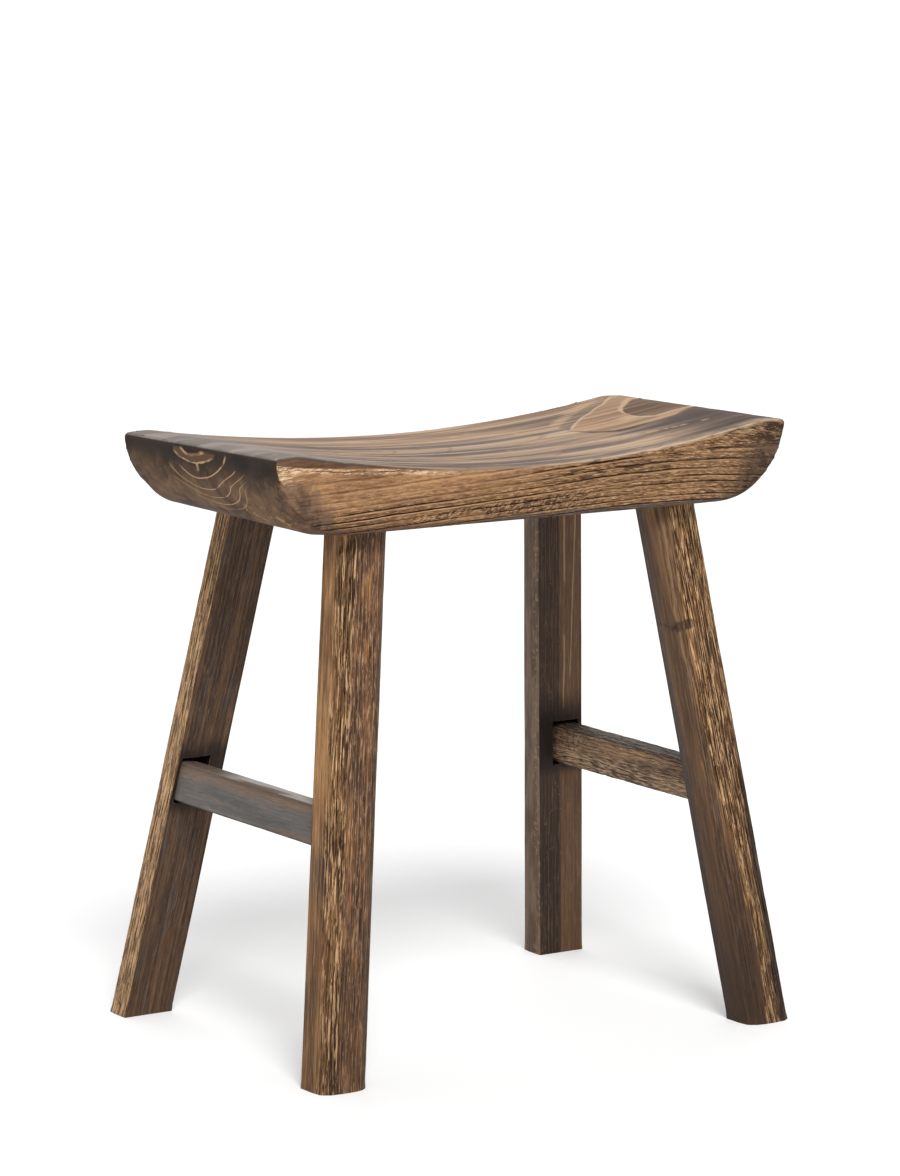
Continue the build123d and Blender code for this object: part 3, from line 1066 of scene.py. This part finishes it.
def make_stretcher(side):
    z = BAR_MIDDLE[side]
    up = z / UNDERSIDE
    outer_x = FOOT_OUTER_X + (SHOULDER_OUTER_X - FOOT_OUTER_X) * up
    reach = FOOT_INNER_Y + (SHOULDER_INNER_Y - FOOT_INNER_Y) * up + BAR_SEAT_DEPTH - 0.5
    bar = block(f"stretcher_{SIDES[side]}_planed", (0, 0, 0), (BAR_THICKNESS, 2 * reach, BAR_HEIGHT))
    mode("EDIT")
    mesh = bmesh.from_edit_mesh(bar.data)
    for e in mesh.edges:
        e.select_set(not lies_at(e, 1, -reach, reach))
    bmesh.update_edit_mesh(bar.data)
    bpy.ops.mesh.bevel(offset=BAR_EDGE * MM, segments=1, affect="EDGES")
    saw(bar, 1, [-92, -60, -30, 0, 30, 60, 92])
    saw(bar, 2, [-5, 5])
    saw(bar, 0, [0])
    crease(bar, lambda e: lies_at(e, 1, -reach, reach))
    mode("OBJECT")
    finish_with(bar, "SUBSURF", levels=4, render_levels=4)
    lean = atan((FOOT_OUTER_X - outer_x) / z)
    bar.rotation_euler = (0, -side * lean, 0)
    bar.location = (side * (outer_x - BAR_SETBACK - BAR_THICKNESS / 2) * MM, 0, z * MM)
    only(bar)
    bpy.ops.object.transform_apply(location=True, rotation=True, scale=True)

    def bar_grain(place):
        x, y, height = place.parts()
        out = (x - side * (outer_x + lean * (z - height))) * side
        return vector(y + BAR_SPACING * side, out, height - z)

    brush(bar, bar_grain, (side, 1, 1), bar_relief)
    return bar


def stretcher_wood():
    material = bpy.data.materials.new("dark_waxed_stretcher_wood")
    start = empty_tree(material)
    grain, facing, place = brushed_places(start)
    x, y = place.parts("xy")
    right = x.fade(-1, 1)
    up = facing.parts("z")[0]
    height_on_bar = grain.parts("z")[0]
    groove, ridge, strokes = brushed(grain, bar_rings(grain), *BAR_STROKES)
    tone = grain.clouds(90, 10, offset=2)
    blot = grain.clouds(26, 7, 3, 0.6, offset=9)

    # The left one is grey with a bare pale top, the right one brown with a dark top, and both have painted
    # shade underneath
    ragged = height_on_bar + (blot - 0.5) * 8
    grey = coats(
        dye(tone.fade(0.35, 0.65), (88, 86, 85), (108, 103, 99)),
        ((height_on_bar + (blot - 0.5) * 10).fade(2, 13) * 0.6, (130, 102, 80)),
        (ragged.fade(-8, -13) * y.fade(-30, 20) * 0.6, (136, 130, 124)),
        (ragged.fade(-6, -11) * y.fade(-20, -60) * 0.6, (124, 100, 82)),
    )
    swirl = place.noise(2, 0.5, 2.5, 0.16)
    at_back = y.fade(20, 60)
    lower = (height_on_bar + (blot - 0.5) * 14).fade(2, -6)
    brown = coats(
        dye(tone.fade(0.4, 0.6), (108, 86, 69), (156, 124, 96)),
        (swirl.fade(0.5, 0.6) * at_back * 0.6, (184, 156, 128)),
        (swirl.fade(0.45, 0.35) * at_back * 0.6, (70, 54, 44)),
        (lower * strokes.fade(0.48, 0.56) * 0.75, (196, 168, 138)),
    )
    bare = dye(y.fade(50, 10) * tone.fade(0.3, 0.45), (98, 84, 74), (168, 161, 156))
    colour = coats(
        dye(right, grey, brown),
        (up.fade(0.55, 0.85), dye(right, bare, (62, 62, 63))),
        (abs(up - 0.45).fade(0.3, 0.1) * (1 - right) * 0.6, (66, 56, 50)),
        # Painted shade on the undersides
        (up.fade(-0.1, -0.6) * 0.6, (48, 41, 37)),
    )
    carving = 0.08 + 0.5 * right
    colour = wear_and_painted_relief(colour, carving, carving, groove, ridge, strokes)
    height = (strokes * 1.2 - groove * 0.8) * (0.3 + 0.7 * right)
    surface(start, colour, 0.5 + 0.2 * (blot - 0.5), height, 0.8)
    return material


def wedge_wood():
    material = bpy.data.materials.new("pale_wedge_wood")
    start = empty_tree(material)
    x, y, z = in_stool(start).parts()
    streak = vector(z, x, y).clouds(12, 0.8, 3, 0.6)
    colour = dye(streak.fade(0.35, 0.65), (150, 116, 80), (188, 152, 110))
    surface(start, colour, 0.6 + 0.2 * (streak - 0.5), streak, 0.1)
    return material


# Camera, light and floor

# The camera as it was solved from the photograph, in metres: its place and what points right, up and back
CAMERA_PLACE = (-2.17040309, -3.07087779, 0.94662898)
CAMERA_RIGHT = (0.81864507, -0.57410084, 0.0151152)
CAMERA_UP = (0.08131598, 0.14192723, 0.98653149)
CAMERA_BACK = (-0.56851381, -0.80639004, 0.1628716)
SENSOR_WIDTH = 36.0
LENS = 157.013

FLOOR_SIZE = 80
PAPER = (0.8, 0.8, 0.8, 1.0)
PAPER_GLOW = 0.22    # added where the camera looks, so that the floor is as white as the sky
WHITE = (1, 1, 1, 1)

# Each lamp's name, the place it shines from, how wide it is and its strength
LAMPS = (
    ("left_softbox", (-0.8, -1.8, 2.1), 0.4, 2.2),
    ("back_softbox", (0.6, 1.5, 2.2), 0.8, 0.5),
)


def rays(start, *kinds):
    """1 for each of these kinds that a ray of light is, and 0 for the others."""
    path = start.node("ShaderNodeLightPath").socket.node
    return [Trace(start.tree, path.outputs[kind]) for kind in kinds]


def place_camera():
    camera = bpy.data.objects.new("viewer", bpy.data.cameras.new("viewer"))
    bpy.context.scene.collection.objects.link(camera)
    turn = Matrix((CAMERA_RIGHT, CAMERA_UP, CAMERA_BACK)).transposed().to_4x4()
    camera.matrix_world = Matrix.Translation(CAMERA_PLACE) @ turn
    camera.data.sensor_width = SENSOR_WIDTH
    camera.data.lens = LENS
    bpy.context.scene.camera = camera


def lay_floor():
    bpy.ops.object.select_all(action="DESELECT")
    bpy.ops.mesh.primitive_plane_add(size=FLOOR_SIZE, location=(0, 0, 0))
    floor = bpy.context.object
    floor.name = "studio_floor"
    material = bpy.data.materials.new("pale_studio_floor")
    start = empty_tree(material)
    [seen] = rays(start, "Is Camera Ray")
    paper = start.node("ShaderNodeBsdfDiffuse", {}, {"Color": PAPER})
    glow = start.node("ShaderNodeEmission", {}, {"Color": WHITE, "Strength": seen * PAPER_GLOW})
    both = start.node("ShaderNodeAddShader", {}, {0: paper, 1: glow})
    start.node("ShaderNodeOutputMaterial", {}, {"Surface": both})
    floor.data.materials.append(material)


def light_studio():
    world = bpy.data.worlds.new("studio")
    bpy.context.scene.world = world
    start = empty_tree(world)
    seen, mirrored, passing = rays(start, "Is Camera Ray", "Is Glossy Ray", "Is Transmission Ray")
    white = seen.most(mirrored).most(passing)
    sky = start.node("ShaderNodeBackground", {}, {"Color": WHITE, "Strength": 0.5 + 0.5 * white})
    start.node("ShaderNodeOutputWorld", {}, {"Surface": sky})
    for name, place, spread, strength in LAMPS:
        lamp = bpy.data.objects.new(name, bpy.data.lights.new(name, "SUN"))
        bpy.context.scene.collection.objects.link(lamp)
        lamp.data.angle = spread
        lamp.data.energy = strength
        lamp.location = place
        lamp.rotation_euler = Vector(place).to_track_quat("Z", "Y").to_euler()


bpy.context.scene.view_settings.view_transform = "Standard"
place_camera()
lay_floor()
light_studio()

seat_finish = seat_wood()
put_on(make_seat(), seat_finish, "seat")
leg_finish = leg_wood()
bar_finish = stretcher_wood()
wedge_finish = wedge_wood()
for side, side_name in SIDES.items():
    put_on(make_stretcher(side), bar_finish, f"stretcher_{side_name}")
    for row, row_name in ROWS.items():
        put_on(make_leg(side, row), leg_finish, f"leg_{row_name}_{side_name}")
        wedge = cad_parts[f"wedge_{row_name}_{side_name}"]
        wedge.data.materials.clear()
        wedge.data.materials.append(wedge_finish)
